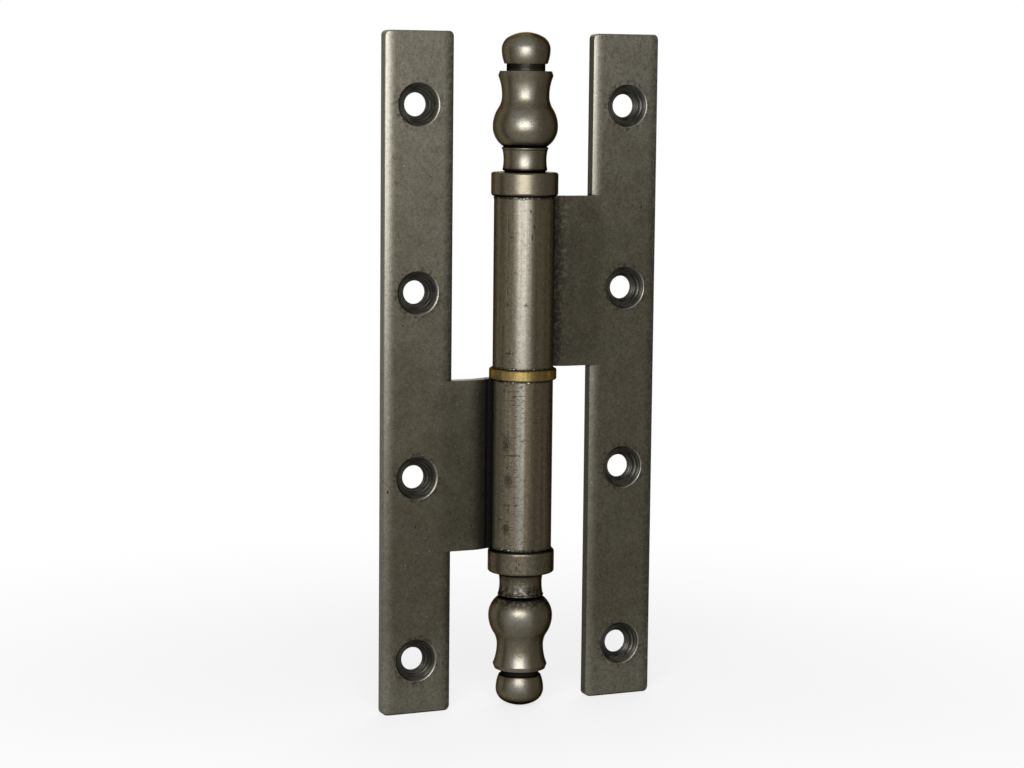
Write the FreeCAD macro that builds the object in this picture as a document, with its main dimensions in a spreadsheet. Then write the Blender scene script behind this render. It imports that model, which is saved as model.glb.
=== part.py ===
# Lift-off hinge: two leaves of sheet rolled into a knuckle, a pin, a brass washer and two turned finials.
# Origin on the pin's axis, halfway up the leaves. +Z runs up the pin, +X across the opened hinge, and -Y
# points out of the countersunk faces. All sizes are millimetres and degrees.
import FreeCAD, Part
import math
import os
import re

import Sketcher

# Leaves: a strip with screw holes, and a tab that is set back and rolled round the pin.
LEAF_SIZES = {
    "leaf_height": 190.0,
    "leaf_reach": 41.5,  # pin axis to the leaf's outer edge
    "strip_width": 20.3,
    "sheet_thickness": 3.5,
    "face_setback": 0.3,  # the countersunk face lies this far behind the pin's axis
    "corner_radius": 1.5,
    "shoulder_width": 2.9,  # of the rolled-over band along each long edge of the countersunk face
    "shoulder_drop": 0.7,  # how far that band has fallen away at the edge
    "edge_radius": 0.4,  # rounding all round the countersunk face
    "ramp_angle": 21.0,  # slope of the joggle from the flat tab to the roll
    "bend_radius": 2.5,  # inner radius where that slope starts
    "seam_gap": 0.8,  # between the rolled end and the sheet that it comes back to
    "knuckle_length": 48.1,
}
# Countersunk screw holes: four to a leaf, level with each other on both leaves.
HOLE_SIZES = {
    "hole_top_margin": 20.1,
    "hole_bottom_margin": 15.1,
    "hole_inset": 9.8,  # hole centre to the leaf's outer edge
    "hole_diameter": 6.5,
    "countersink_diameter": 12.2,
    "countersink_angle": 90.0,
    "countersink_round": 0.25,  # worn rim of the countersink
}
PIN_SIZES = {
    "pin_diameter": 10.0,
    "fit_clearance": 0.05,  # radial, of the pin and the finial stubs in the rolled bores
    "pin_end_gap": 1.0,  # left between each end of the pin and the finial stub beyond it
    "pin_chamfer": 0.8,
    "pin_nose_height": 2.5,
    "pin_nose_inset": 1.2,
}
WASHER_SIZES = {
    "washer_thickness": 3.0,
    "washer_diameter": 19.0,
    "washer_clearance": 0.1,  # radial, round the pin
    "washer_edge": 0.25,
}
# Finials, from the knuckle's end outwards: collar, neck, bead, bulb, waist, lip, throat and ball.
FINIAL_HEIGHTS = {
    "stub_length": 15.0,
    "stub_chamfer": 0.6,
    "collar_height": 6.8,
    "collar_foot_round": 1.1,
    "collar_top_round": 0.7,
    "neck_groove_height": 0.6,
    "neck_height": 5.5,
    "bead_height": 0.9,
    "bulb_foot_height": 5.6,
    "bulb_shoulder_height": 5.4,
    "waist_foot_height": 3.1,
    "waist_flare_height": 5.6,
    "lip_height": 1.2,
    "throat_height": 2.0,
    "ball_foot_height": 4.0,
}
FINIAL_RADII = {
    "collar_radius": 9.4,
    "neck_groove_radius": 5.5,
    "neck_end_radius": 6.3,
    "neck_radius": 6.0,
    "bead_radius": 6.5,
    "bulb_radius": 9.1,
    "bulb_end_radius": 7.4,
    "waist_radius": 6.6,
    "lip_radius": 7.7,
    "lip_bevel": 0.45,
    "throat_radius": 5.4,
    "ball_foot_radius": 6.0,
    "ball_radius": 6.8,
    "ball_shoulder_radius": 4.0,
    "ball_crown_angle": 60.0,  # the shoulder's turn before the flatter crown takes over
}
SIZE_GROUPS = [LEAF_SIZES, HOLE_SIZES, PIN_SIZES, WASHER_SIZES, FINIAL_HEIGHTS, FINIAL_RADII]
SIZE_NAMES = [name for group in SIZE_GROUPS for name in group]

HOLES_PER_LEAF = 4
TOUCH = 1e-4  # two places closer than this are the same place
HALF_TURN = FreeCAD.Rotation(FreeCAD.Vector(0, 1, 0), 180)

# Places that several pieces share, as formulas of the sizes above.
KNUCKLE_START = "washer_thickness / 2"
KNUCKLE_END = "(washer_thickness / 2 + knuckle_length)"
BORE_RADIUS = "(pin_diameter / 2 + fit_clearance)"
ROLL_RADIUS = f"({BORE_RADIUS} + sheet_thickness)"
STRIP_INNER_EDGE = "(leaf_reach - strip_width)"
FACE_START = f"({STRIP_INNER_EDGE} + shoulder_width)"
FACE_BACK = "(face_setback + sheet_thickness)"
SEAM_ANGLE = f"(asin(({BORE_RADIUS} - seam_gap) / {ROLL_RADIUS}) / 1deg - ramp_angle)"


def write_sizes(document):
    """Put every driving size into the sheet, one row each, with its name as the alias."""
    sheet = document.addObject("Spreadsheet::Sheet", "Sizes")
    row = 0
    for group in SIZE_GROUPS:
        for name, value in group.items():
            row += 1
            sheet.set(f"A{row}", name)
            sheet.set(f"B{row}", str(value))
            sheet.setAlias(f"B{row}", name)
    document.recompute()
    return sheet


def formula(text):
    """The formula with each size's name pointed at the sheet."""
    return re.sub(r"[a-z_]+", lambda word: "Sizes." + word[0] if word[0] in SIZE_NAMES else word[0], text)


def bind(item, place, text):
    item.setExpression(place, formula(text))


def value_of(item, text):
    """What the formula gives with the sizes as they are now."""
    result = item.evalExpression(formula(text))
    return float(getattr(result, "Value", result))


def new_body(document, label):
    body = document.addObject("PartDesign::Body", label)
    body.Label = label
    return body


def new_sketch(body, name, plane_role, offset=None):
    """A sketch on one of the body's own planes, lifted along the plane's normal by the formula."""
    sketch = body.newObject("Sketcher::SketchObject", name)
    plane = next(item for item in body.Origin.OriginFeatures if item.Role == plane_role)
    sketch.AttachmentSupport = [(plane, "")]
    sketch.MapMode = "FlatFace"
    if offset:
        bind(sketch, "AttachmentOffset.Base.z", offset)
    return sketch


def new_feature(body, kind, name, profile, **settings):
    """A feature made from a sketch, or from edges of the feature before it."""
    feature = body.newObject("PartDesign::" + kind, name)
    if kind in ("Fillet", "Chamfer"):
        feature.Base = profile
    else:
        feature.Profile = profile
    for setting, value in settings.items():
        setattr(feature, setting, value)
    return feature


def recompute(document):
    document.recompute()
    failed = [item.Label for item in document.Objects if {"Invalid", "Error"} & set(item.State)]
    if failed:
        raise RuntimeError("failed: " + ", ".join(failed))


class Profile:
    """A closed outline of straight and round stretches, each corner placed by two formulas."""

    def __init__(self, sketch, across, along):
        self.sketch = sketch
        self.first = (across, along)
        self.corners = [(across, along)]
        self.edges = []

    def point(self, corner):
        return FreeCAD.Vector(value_of(self.sketch, corner[0]), value_of(self.sketch, corner[1]), 0)

    def _add(self, geometry, starts_at, corner):
        index = self.sketch.addGeometry(geometry, False)
        self.edges.append((index, starts_at))
        self.corners.append(corner)
        return index

    def line(self, across, along):
        start, end = self.point(self.corners[-1]), self.point((across, along))
        self._add(Part.LineSegment(start, end), 1, (across, along))
        return self

    def arc(self, across, along, radius, centre, turns_left):
        """A round stretch to the corner. The centre is where the solver starts from."""
        start, end = self.point(self.corners[-1]), self.point((across, along))
        first, last = (start, end) if turns_left else (end, start)
        angles = [math.atan2(spot.y - centre.y, spot.x - centre.x) for spot in (first, last)]
        circle = Part.Circle(centre, FreeCAD.Vector(0, 0, 1), value_of(self.sketch, radius))
        index = self._add(Part.ArcOfCircle(circle, *angles), 1 if turns_left else 2, (across, along))
        number = self.sketch.addConstraint(Sketcher.Constraint("Radius", index, circle.Radius))
        bind(self.sketch, f"Constraints[{number}]", radius)
        return self

    def swell(self, across, along, upright_end):
        """A round stretch that runs parallel to the axis at its upright end."""
        start, end = self.corners[-1], (across, along)
        out, up = f"(({across}) - ({start[0]}))", f"(({along}) - ({start[1]}))"
        radius = f"({out} ^ 2 + {up} ^ 2) / (2 * abs({out}))"
        extreme, other = (end, start) if upright_end else (start, end)
        spot, reach = self.point(extreme), value_of(self.sketch, radius)
        bulges = spot.x > self.point(other).x
        centre = spot + FreeCAD.Vector(-reach if bulges else reach, 0, 0)
        return self.arc(across, along, radius, centre, bulges)

    def crown(self, across, along, level_end):
        """A round stretch that bulges outwards and runs level at its level end."""
        start, end = self.corners[-1], (across, along)
        out, up = f"(({across}) - ({start[0]}))", f"(({along}) - ({start[1]}))"
        radius = f"({out} ^ 2 + {up} ^ 2) / (2 * abs({up}))"
        extreme, other = (end, start) if level_end else (start, end)
        spot, reach = self.point(extreme), value_of(self.sketch, radius)
        centre = spot + FreeCAD.Vector(0, -reach if spot.y > self.point(other).y else reach, 0)
        return self.arc(across, along, radius, centre, True)

    def close(self):
        """Join the last corner to the first, then tie every corner to its formulas."""
        self.line(*self.first)
        for (index, start), corner in zip(self.edges, self.corners):
            self._place(index, start, corner)
        for position, (index, start) in enumerate(self.edges):
            following, following_start = self.edges[(position + 1) % len(self.edges)]
            self.sketch.addConstraint(
                Sketcher.Constraint("Coincident", index, 3 - start, following, following_start)
            )

    def _place(self, index, end, corner):
        for kind, text, spot in zip(("DistanceX", "DistanceY"), corner, self.point(corner)):
            if text == "0" and kind == "DistanceX":
                self.sketch.addConstraint(Sketcher.Constraint("PointOnObject", index, end, -2))
                continue
            number = self.sketch.addConstraint(Sketcher.Constraint(kind, -1, 1, index, end, spot))
            if text != "0":
                bind(self.sketch, f"Constraints[{number}]", text)


def circle(sketch, across, along, diameter):
    """A circle with its centre and diameter tied to formulas."""
    centre = FreeCAD.Vector(value_of(sketch, across), value_of(sketch, along), 0)
    size = value_of(sketch, diameter)
    index = sketch.addGeometry(Part.Circle(centre, FreeCAD.Vector(0, 0, 1), size / 2), False)
    for kind, text, spot in (("DistanceX", across, centre.x), ("DistanceY", along, centre.y)):
        number = sketch.addConstraint(Sketcher.Constraint(kind, -1, 1, index, 3, spot))
        if text != "0":
            bind(sketch, f"Constraints[{number}]", text)
    number = sketch.addConstraint(Sketcher.Constraint("Diameter", index, size))
    bind(sketch, f"Constraints[{number}]", diameter)


def edges_where(feature, test):
    """Names of the feature's edges whose two ends both pass the test."""
    names = []
    for number, edge in enumerate(feature.Shape.Edges, start=1):
        if test(*[vertex.Point for vertex in edge.Vertexes]):
            names.append(f"Edge{number}")
    return feature, names


def near(first, second):
    return abs(first - second) < TOUCH


def build_strip(document, body):
    """The long flat of the leaf: its long edges roll over to the sides, and its corners are rounded."""
    section = new_sketch(body, "StripSection", "XY_Plane", "-leaf_height / 2")
    edge_level = "(face_setback + shoulder_drop)"
    profile = Profile(section, STRIP_INNER_EDGE, edge_level)
    profile.crown(FACE_START, "face_setback", True)
    profile.line("leaf_reach - shoulder_width", "face_setback")
    profile.crown("leaf_reach", edge_level, False)
    profile.line("leaf_reach", FACE_BACK)
    profile.line(STRIP_INNER_EDGE, FACE_BACK)
    profile.close()
    strip = new_feature(body, "Pad", "Strip", section)
    bind(strip, "Length", "leaf_height")
    recompute(document)

    def runs_through(*ends):
        return len(ends) == 2 and near(ends[0].x, ends[1].x) and near(ends[0].z, ends[1].z)

    corners = new_feature(body, "Fillet", "StripCorners", edges_where(strip, runs_through))
    bind(corners, "Radius", "corner_radius")
    recompute(document)
    front, edge = value_of(body, "face_setback"), value_of(body, edge_level)

    def round_front(*ends):
        crest = near(ends[0].x, ends[-1].x) and near(ends[0].y, front)
        return all(end.y < edge + TOUCH for end in ends) and not crest

    softened = new_feature(body, "Fillet", "StripFrontEdge", edges_where(corners, round_front))
    bind(softened, "Radius", "edge_radius")
    recompute(document)


def at_radius(radius, across, along):
    """A corner at the radius from the pin's axis, in the direction of the two components."""
    return f"{radius} * {across}", f"{radius} * {along}"


def build_roll(document, body):
    """The tab, set back along a short ramp and rolled round the pin from behind to a seam at the front."""
    section = new_sketch(body, "RollSection", "XY_Plane", KNUCKLE_START)
    slope_sine, slope_cosine = "sin(ramp_angle)", "cos(ramp_angle)"
    seam_sine, seam_cosine = f"sin({SEAM_ANGLE})", f"cos({SEAM_ANGLE})"
    front_crease = f"({BORE_RADIUS} - face_setback * {slope_cosine}) / {slope_sine}"
    back_crease = f"({ROLL_RADIUS} - {FACE_BACK} * {slope_cosine}) / {slope_sine}"
    centre = FreeCAD.Vector(0, 0, 0)
    profile = Profile(section, FACE_START, "face_setback")
    profile.line(front_crease, "face_setback")
    profile.line(*at_radius(BORE_RADIUS, slope_sine, slope_cosine))
    profile.arc(*at_radius(BORE_RADIUS, seam_cosine, seam_sine), BORE_RADIUS, centre, True)
    profile.line(*at_radius(ROLL_RADIUS, seam_cosine, seam_sine))
    profile.arc(*at_radius(ROLL_RADIUS, slope_sine, slope_cosine), ROLL_RADIUS, centre, False)
    profile.line(back_crease, FACE_BACK)
    profile.line(FACE_START, FACE_BACK)
    profile.close()
    roll = new_feature(body, "Pad", "Roll", section)
    bind(roll, "Length", "knuckle_length")
    recompute(document)
    creases = (
        ("FrontBend", front_crease, "face_setback", "bend_radius + sheet_thickness"),
        ("BackBend", back_crease, FACE_BACK, "bend_radius"),
    )
    base = roll
    for name, across, depth, radius in creases:
        place = FreeCAD.Vector(value_of(body, across), value_of(body, depth), 0)

        def at_crease(*ends):
            return len(ends) == 2 and all(near(end.x, place.x) and near(end.y, place.y) for end in ends)

        base = new_feature(body, "Fillet", name, edges_where(base, at_crease))
        bind(base, "Radius", radius)
        recompute(document)


def build_screw_holes(document, body, up):
    """Countersunk holes down the strip; up is -1 in a leaf that is turned over to be mounted."""
    centres = new_sketch(body, "HoleCentres", "XZ_Plane", "-face_setback")
    pitch = f"(leaf_height - hole_top_margin - hole_bottom_margin) / {HOLES_PER_LEAF - 1}"
    for number in range(HOLES_PER_LEAF):
        height = f"{up} * (leaf_height / 2 - hole_top_margin - {number} * {pitch})"
        circle(centres, "leaf_reach - hole_inset", height, "hole_diameter")
    recompute(document)
    holes = new_feature(body, "Hole", "ScrewHoles", centres)
    holes.DepthType = "ThroughAll"
    holes.HoleCutType = "Countersink"
    holes.HoleCutCustomValues = True
    bind(holes, "Diameter", "hole_diameter")
    bind(holes, "HoleCutDiameter", "countersink_diameter")
    bind(holes, "HoleCutCountersinkAngle", "countersink_angle")
    recompute(document)
    front = value_of(body, "face_setback")

    def is_rim(*ends):
        return len(ends) == 1 and near(ends[0].y, front)

    rims = new_feature(body, "Fillet", "CountersinkRims", edges_where(holes, is_rim))
    bind(rims, "Radius", "countersink_round")
    recompute(document)


def build_leaf(document, label, upper):
    """A leaf in the upper one's place. The lower leaf is the same sheet, turned over end to end."""
    body = new_body(document, label)
    build_strip(document, body)
    build_roll(document, body)
    build_screw_holes(document, body, 1 if upper else -1)
    if not upper:
        body.Placement = FreeCAD.Placement(FreeCAD.Vector(0, 0, 0), HALF_TURN)
    return body


def revolve(document, body, section):
    turned = new_feature(body, "Revolution", "Turned", section)
    turned.ReferenceAxis = (section, ["V_Axis"])
    turned.Angle = 360
    recompute(document)


def build_pin(document):
    """The pin: a chamfered foot in the lower knuckle and a tapered nose for the upper leaf to drop over."""
    body = new_body(document, "hinge_pin")
    section = new_sketch(body, "PinSection", "XZ_Plane")
    radius = "pin_diameter / 2"
    top = f"({KNUCKLE_END} - stub_length - pin_end_gap)"
    foot = f"-{top}"
    profile = Profile(section, "0", foot)
    profile.line(f"{radius} - pin_chamfer", foot)
    profile.line(radius, f"{foot} + pin_chamfer")
    profile.line(radius, f"{top} - pin_nose_height")
    profile.line(f"{radius} - pin_nose_inset", top)
    profile.line("0", top)
    profile.close()
    revolve(document, body, section)
    return body


def build_washer(document):
    """The brass washer that carries the upper leaf."""
    body = new_body(document, "brass_washer")
    section = new_sketch(body, "WasherSection", "XZ_Plane")
    inner = "pin_diameter / 2 + washer_clearance"
    outer = "washer_diameter / 2"
    low, high = "-washer_thickness / 2", "washer_thickness / 2"
    profile = Profile(section, inner, low)
    profile.line(f"{outer} - washer_edge", low)
    profile.line(outer, f"{low} + washer_edge")
    profile.line(outer, f"{high} - washer_edge")
    profile.line(f"{outer} - washer_edge", high)
    profile.line(inner, high)
    profile.close()
    revolve(document, body, section)
    return body


def stack(*names):
    return "(" + " + ".join(names) + ")"


def build_finial(document, label, upper):
    """One turned finial, from the stub in the knuckle's bore to the ball at its tip."""
    body = new_body(document, label)
    section = new_sketch(body, "FinialSection", "XZ_Plane")
    stub = "pin_diameter / 2"
    neck_foot = stack("collar_height", "neck_groove_height")
    bead_foot = stack(neck_foot, "neck_height")
    bulb_foot = stack(bead_foot, "bead_height")
    bulb_middle = stack(bulb_foot, "bulb_foot_height")
    shoulder = stack(bulb_middle, "bulb_shoulder_height")
    waist = stack(shoulder, "waist_foot_height")
    lip = stack(waist, "waist_flare_height")
    lip_top = stack(lip, "lip_height")
    ball_foot = stack(lip_top, "throat_height")
    equator = stack(ball_foot, "ball_foot_height")
    shoulder_centre = "(ball_radius - ball_shoulder_radius)"
    turn_sine, turn_cosine = "sin(ball_crown_angle)", "cos(ball_crown_angle)"
    crown_radius = f"(ball_shoulder_radius + {shoulder_centre} / {turn_cosine})"
    tip = f"({equator} - {shoulder_centre} * {turn_sine} / {turn_cosine} + {crown_radius})"

    profile = Profile(section, "0", "-stub_length")
    profile.line(f"{stub} - stub_chamfer", "-stub_length")
    profile.line(stub, "-stub_length + stub_chamfer")
    profile.line(stub, "0")
    profile.line("collar_radius - collar_foot_round", "0")
    profile.swell("collar_radius", "collar_foot_round", True)
    profile.line("collar_radius", "collar_height - collar_top_round")
    profile.swell("collar_radius - collar_top_round", "collar_height", False)
    profile.line("neck_groove_radius", "collar_height")
    profile.line("neck_end_radius", neck_foot)
    profile.swell("neck_radius", f"{neck_foot} + neck_height / 2", True)
    profile.swell("neck_end_radius", bead_foot, False)
    profile.line("neck_radius", bead_foot)
    profile.swell("bead_radius", f"{bead_foot} + bead_height / 2", True)
    profile.swell("neck_radius", bulb_foot, False)
    profile.swell("bulb_radius", bulb_middle, True)
    profile.swell("bulb_end_radius", shoulder, False)
    profile.swell("waist_radius", waist, True)
    profile.swell("lip_radius", lip, False)
    profile.line("lip_radius - lip_bevel", lip_top)
    profile.line("throat_radius", lip_top)
    profile.line("throat_radius", ball_foot)
    profile.line("ball_foot_radius", ball_foot)
    profile.swell("ball_radius", equator, True)
    profile.swell(
        f"{shoulder_centre} + ball_shoulder_radius * {turn_cosine}",
        f"{equator} + ball_shoulder_radius * {turn_sine}",
        False,
    )
    profile.crown("0", tip, True)
    profile.close()
    revolve(document, body, section)
    if not upper:
        body.Placement = FreeCAD.Placement(FreeCAD.Vector(0, 0, 0), HALF_TURN)
    bind(body, "Placement.Base.z", KNUCKLE_END if upper else f"-{KNUCKLE_END}")
    recompute(document)
    return body


def export(pieces):
    """Write each piece to its own file, once every one of them is sound."""
    for piece in pieces:
        if piece.Shape.isNull() or not piece.Shape.isValid():
            raise RuntimeError(f"{piece.Label} has no sound shape")
    os.makedirs("parts", exist_ok=True)
    for piece in pieces:
        piece.Shape.exportStep(f"parts/{piece.Label}.step")
        print(piece.Label, round(piece.Shape.Volume, 1), piece.Shape.BoundBox)


def main():
    document = FreeCAD.newDocument("Hinge")
    write_sizes(document)
    pieces = [
        build_leaf(document, "lower_leaf", upper=False),
        build_leaf(document, "upper_leaf", upper=True),
        build_pin(document),
        build_washer(document),
        build_finial(document, "lower_finial", upper=False),
        build_finial(document, "upper_finial", upper=True),
    ]
    recompute(document)
    export(pieces)


main()
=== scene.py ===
"""Finishes a lift-off hinge: aged sheet-steel leaves, turned finials, a brass washer, a pin and a studio.

Lengths in the properties are metres, as everywhere in the scene. The shaders work in millimetres on each
piece's own coordinates, so grain, stains and wear stay on the metal when a leaf swings or lifts off.
"""

import math
from typing import NamedTuple

import bmesh
import bpy
from bpy.props import FloatProperty, FloatVectorProperty, PointerProperty
from mathutils import Matrix, Vector, noise


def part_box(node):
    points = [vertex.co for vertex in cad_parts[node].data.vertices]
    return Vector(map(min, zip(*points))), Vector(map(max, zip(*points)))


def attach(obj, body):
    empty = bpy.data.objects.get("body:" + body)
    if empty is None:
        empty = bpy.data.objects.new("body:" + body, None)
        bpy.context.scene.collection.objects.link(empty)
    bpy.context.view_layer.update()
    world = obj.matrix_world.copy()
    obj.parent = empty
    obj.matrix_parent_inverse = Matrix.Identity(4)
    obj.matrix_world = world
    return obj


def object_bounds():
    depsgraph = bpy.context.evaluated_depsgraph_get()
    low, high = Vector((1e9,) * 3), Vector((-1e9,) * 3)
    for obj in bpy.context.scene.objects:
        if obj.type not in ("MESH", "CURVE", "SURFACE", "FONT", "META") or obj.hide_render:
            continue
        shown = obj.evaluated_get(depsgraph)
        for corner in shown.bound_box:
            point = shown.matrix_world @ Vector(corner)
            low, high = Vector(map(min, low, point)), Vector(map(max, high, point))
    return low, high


bl_info = {
    "name": "Lift-off hinge finishes",
    "version": (1, 0, 0),
    "blender": (4, 5, 0),
    "location": "3D View > Sidebar > Hinge",
    "description": "Aged steel, brass and a studio for a lift-off hinge with turned finials",
    "category": "Object",
}

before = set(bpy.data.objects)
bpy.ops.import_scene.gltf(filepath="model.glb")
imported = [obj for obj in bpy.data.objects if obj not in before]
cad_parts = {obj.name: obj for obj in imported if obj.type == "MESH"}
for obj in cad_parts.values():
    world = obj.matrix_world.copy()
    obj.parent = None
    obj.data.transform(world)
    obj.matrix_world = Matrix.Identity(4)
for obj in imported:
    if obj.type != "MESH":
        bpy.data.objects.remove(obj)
CAD_LOW, CAD_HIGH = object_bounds()
WASHER_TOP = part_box("brass_washer")[1].z
LEAF_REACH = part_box("upper_leaf")[1].x

PICTURE_WIDTH = 1024  # pixels
MILLIMETRE = 0.001


# ------------------------------------------------------------------ properties


def number_field(name, description, value, unit="LENGTH"):
    return FloatProperty(name=name, description=description, default=value, unit=unit)


def colour_field(name, description, value):
    return FloatVectorProperty(
        name=name, description=description, subtype="COLOR", default=value, min=0, max=1
    )


class HingeSizes(bpy.types.PropertyGroup):
    """Places on the hinge that its finishes follow."""

    knuckle_radius: number_field("Knuckle radius", "Outside of the rolled sheet", 0.00855)
    knuckle_start: number_field("Knuckle start", "Height of the knuckle's end at the washer", WASHER_TOP)
    knuckle_end: number_field("Knuckle end", "Height of the knuckle's end at the finial", 0.0496)
    leaf_reach: number_field("Leaf reach", "Pin axis to a leaf's outer edge", LEAF_REACH)
    strip_width: number_field("Strip width", "Width of a leaf beside its tab", 0.0203)
    shoulder_width: number_field("Shoulder width", "Rolled-over band along the long edges", 0.0029)
    hole_top: number_field("Top hole", "Height of the highest screw hole", 0.0749)
    hole_pitch: number_field("Hole pitch", "Height from one screw hole to the next", 0.0516)
    hole_reach: number_field("Hole reach", "Pin axis to the screw holes", 0.0317)
    countersink_radius: number_field("Countersink radius", "Rim of the countersinks", 0.0061)


class HingeSteel(bpy.types.PropertyGroup):
    """The aged steel of the leaves and finials."""

    sheet: colour_field("Sheet", "Dark patinated flats of the leaves", (0.055, 0.0495, 0.0345))
    # The lighter sheet is painted light: the flats towards the top, and a painted reflection of the floor
    # towards the foot.
    lit_sheet: colour_field("Rubbed sheet", "Flats that handling has rubbed", (0.119, 0.111, 0.087))
    # Shaded and lit copies of one steel for barrels and finials: the darker is painted shade on their far
    # side, the lighter is painted light on the side towards the key light.
    shaded: colour_field("Shaded steel", "Darker side of barrels and finials", (0.053, 0.0445, 0.029))
    lit_side_steel: colour_field("Handled steel", "Lighter side of barrels and finials", (0.108, 0.093, 0.062))
    # Bare steel colours real scratches and also painted highlights on barrels, finials, lit edges and
    # countersinks.
    bare: colour_field("Bare steel", "Swells and edges rubbed almost clean", (0.165, 0.156, 0.136))
    # Worn edge also colours painted highlights on the countersink rims and burrs.
    worn_edge: colour_field("Worn edge", "Specks, nicks and burrs worn bright", (0.45, 0.43, 0.39))
    dust: colour_field("Dry film", "Matt film beside the lower knuckle's root", (0.13, 0.112, 0.078))
    brown: colour_field("Brown film", "Reddish tarnish", (0.052, 0.034, 0.021))
    cool: colour_field("Grey film", "Bluish grey tarnish", (0.06, 0.061, 0.054))
    grime: colour_field("Grime", "Black dirt in grooves and pits", (0.007, 0.0065, 0.0055))


class HingeBrass(bpy.types.PropertyGroup):
    """The washer's brass."""

    # The clean brass also colours the washer's painted lit side.
    clean: colour_field("Brass", "Brass rubbed clean", (0.2, 0.145, 0.055))
    tarnished: colour_field("Tarnish", "Dull film on the brass", (0.062, 0.04, 0.0125))


class HingeStudio(bpy.types.PropertyGroup):
    """Camera, floor and lights."""

    camera_place: FloatVectorProperty(
        name="Camera",
        description="Where the lens stands",
        subtype="TRANSLATION",
        default=(-0.29043, -0.64897, 0.08066),
    )
    camera_yaw: number_field("Yaw", "Turn of the camera from +Y towards +X", 0.4166, "ROTATION")
    camera_pitch: number_field("Pitch", "Tilt of the camera below the horizon", 0.1173, "ROTATION")
    camera_roll: number_field("Roll", "Turn of the camera about its line of sight", 0.0103, "ROTATION")
    focal_pixels: number_field("Focal length", "In widths of one pixel of the picture", 2544.56, "NONE")
    key_power: number_field("Key", "Power of the softbox beside the camera", 1.7, "POWER")
    back_power: number_field("Back", "Power of the softbox behind the hinge", 4.0, "POWER")
    ambient: number_field("Ambient", "Light of the room on matt surfaces", 0.2, "NONE")
    floor_colour: colour_field("Floor", "Pale floor", (0.94, 0.94, 0.94))


def millimetres(length):
    return length / MILLIMETRE


# -------------------------------------------------------------- shader helpers


class Shading:
    """Adds nodes to one shader tree, set out in columns, and joins them."""

    ROWS = 5
    COLUMN_WIDTH = 230
    ROW_HEIGHT = 210
    MIXED_NUMBERS = (2, 3)  # the Mix node's sockets for what it mixes; its share is socket 0
    MIXED_COLOURS = (6, 7)

    def __init__(self, tree):
        self.tree = tree
        self.count = 0

    def node(self, kind, inputs=None, **settings):
        made = self.tree.nodes.new(kind)
        column, row = divmod(self.count, self.ROWS)
        made.location = (self.COLUMN_WIDTH * column, -self.ROW_HEIGHT * row)
        self.count += 1
        for name, value in settings.items():
            setattr(made, name, value)
        for name, value in (inputs or {}).items():
            self.feed(made.inputs[name], value)
        return made

    def feed(self, socket, value):
        """Joins an output to the socket, or writes a plain value in it."""
        if isinstance(value, bpy.types.NodeSocket):
            self.tree.links.new(value, socket)
        else:
            socket.default_value = value

    def math(self, operation, first, second=0.0, third=0.0):
        made = self.node("ShaderNodeMath", operation=operation)
        for socket, value in zip(made.inputs, (first, second, third)):
            self.feed(socket, value)
        return made.outputs[0]

    def times(self, *values):
        """Product of two or more numbers."""
        product = values[0]
        for value in values[1:]:
            product = self.math("MULTIPLY", product, value)
        return product

    def most(self, *values):
        """Largest of two or more numbers."""
        largest = values[0]
        for value in values[1:]:
            largest = self.math("MAXIMUM", largest, value)
        return largest

    def away(self, value, level):
        """How far the value is from the level, either way."""
        return self.math("ABSOLUTE", self.math("SUBTRACT", value, level))

    def invert(self, mask):
        """One where the mask is nought, and nought where it is one."""
        return self.math("SUBTRACT", 1.0, mask)

    def vector(self, operation, first, second=(0.0, 0.0, 0.0)):
        made = self.node("ShaderNodeVectorMath", operation=operation)
        self.feed(made.inputs[0], first)
        self.feed(made.inputs[1], second)
        return made.outputs[0]

    def length(self, vector):
        return self.node("ShaderNodeVectorMath", {0: vector}, operation="LENGTH").outputs["Value"]

    def ramp(self, value, start, end, low=0.0, high=1.0):
        """Smooth step from low at start to high at end."""
        made = self.node("ShaderNodeMapRange", interpolation_type="SMOOTHSTEP")
        for socket, number in zip(made.inputs, (value, start, end, low, high)):
            self.feed(socket, number)
        return made.outputs[0]

    def mix(self, share, first, second):
        """One colour into another."""
        made = self.node("ShaderNodeMix", data_type="RGBA")
        self.feed(made.inputs[0], share)
        for socket, colour in zip(self.MIXED_COLOURS, (first, second)):
            is_output = isinstance(colour, bpy.types.NodeSocket)
            self.feed(made.inputs[socket], colour if is_output else (*colour, 1.0))
        return made.outputs[2]

    def blend(self, share, first, second):
        """One number into another."""
        made = self.node("ShaderNodeMix", data_type="FLOAT")
        self.feed(made.inputs[0], share)
        for socket, number in zip(self.MIXED_NUMBERS, (first, second)):
            self.feed(made.inputs[socket], number)
        return made.outputs[0]

    def brighten(self, colour, factor):
        return self.node("ShaderNodeHueSaturation", {"Value": factor, "Color": colour}).outputs[0]

    def noise(self, vector, scale, detail=3.0, roughness=0.6):
        inputs = {"Vector": vector, "Scale": scale, "Detail": detail, "Roughness": roughness}
        return self.node("ShaderNodeTexNoise", inputs).outputs[0]

    def join(self, x, y, z):
        return self.node("ShaderNodeCombineXYZ", {"X": x, "Y": y, "Z": z}).outputs[0]

    def group(self, name, **inputs):
        """One of the shared effects, made when it is first asked for."""
        if name not in bpy.data.node_groups:
            SHARED_EFFECTS[name]()
        made = self.node("ShaderNodeGroup", node_tree=bpy.data.node_groups[name])
        for socket, value in inputs.items():
            self.feed(made.inputs[socket], value)
        return made.outputs


VECTOR = "NodeSocketVector"
NUMBER = "NodeSocketFloat"


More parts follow.
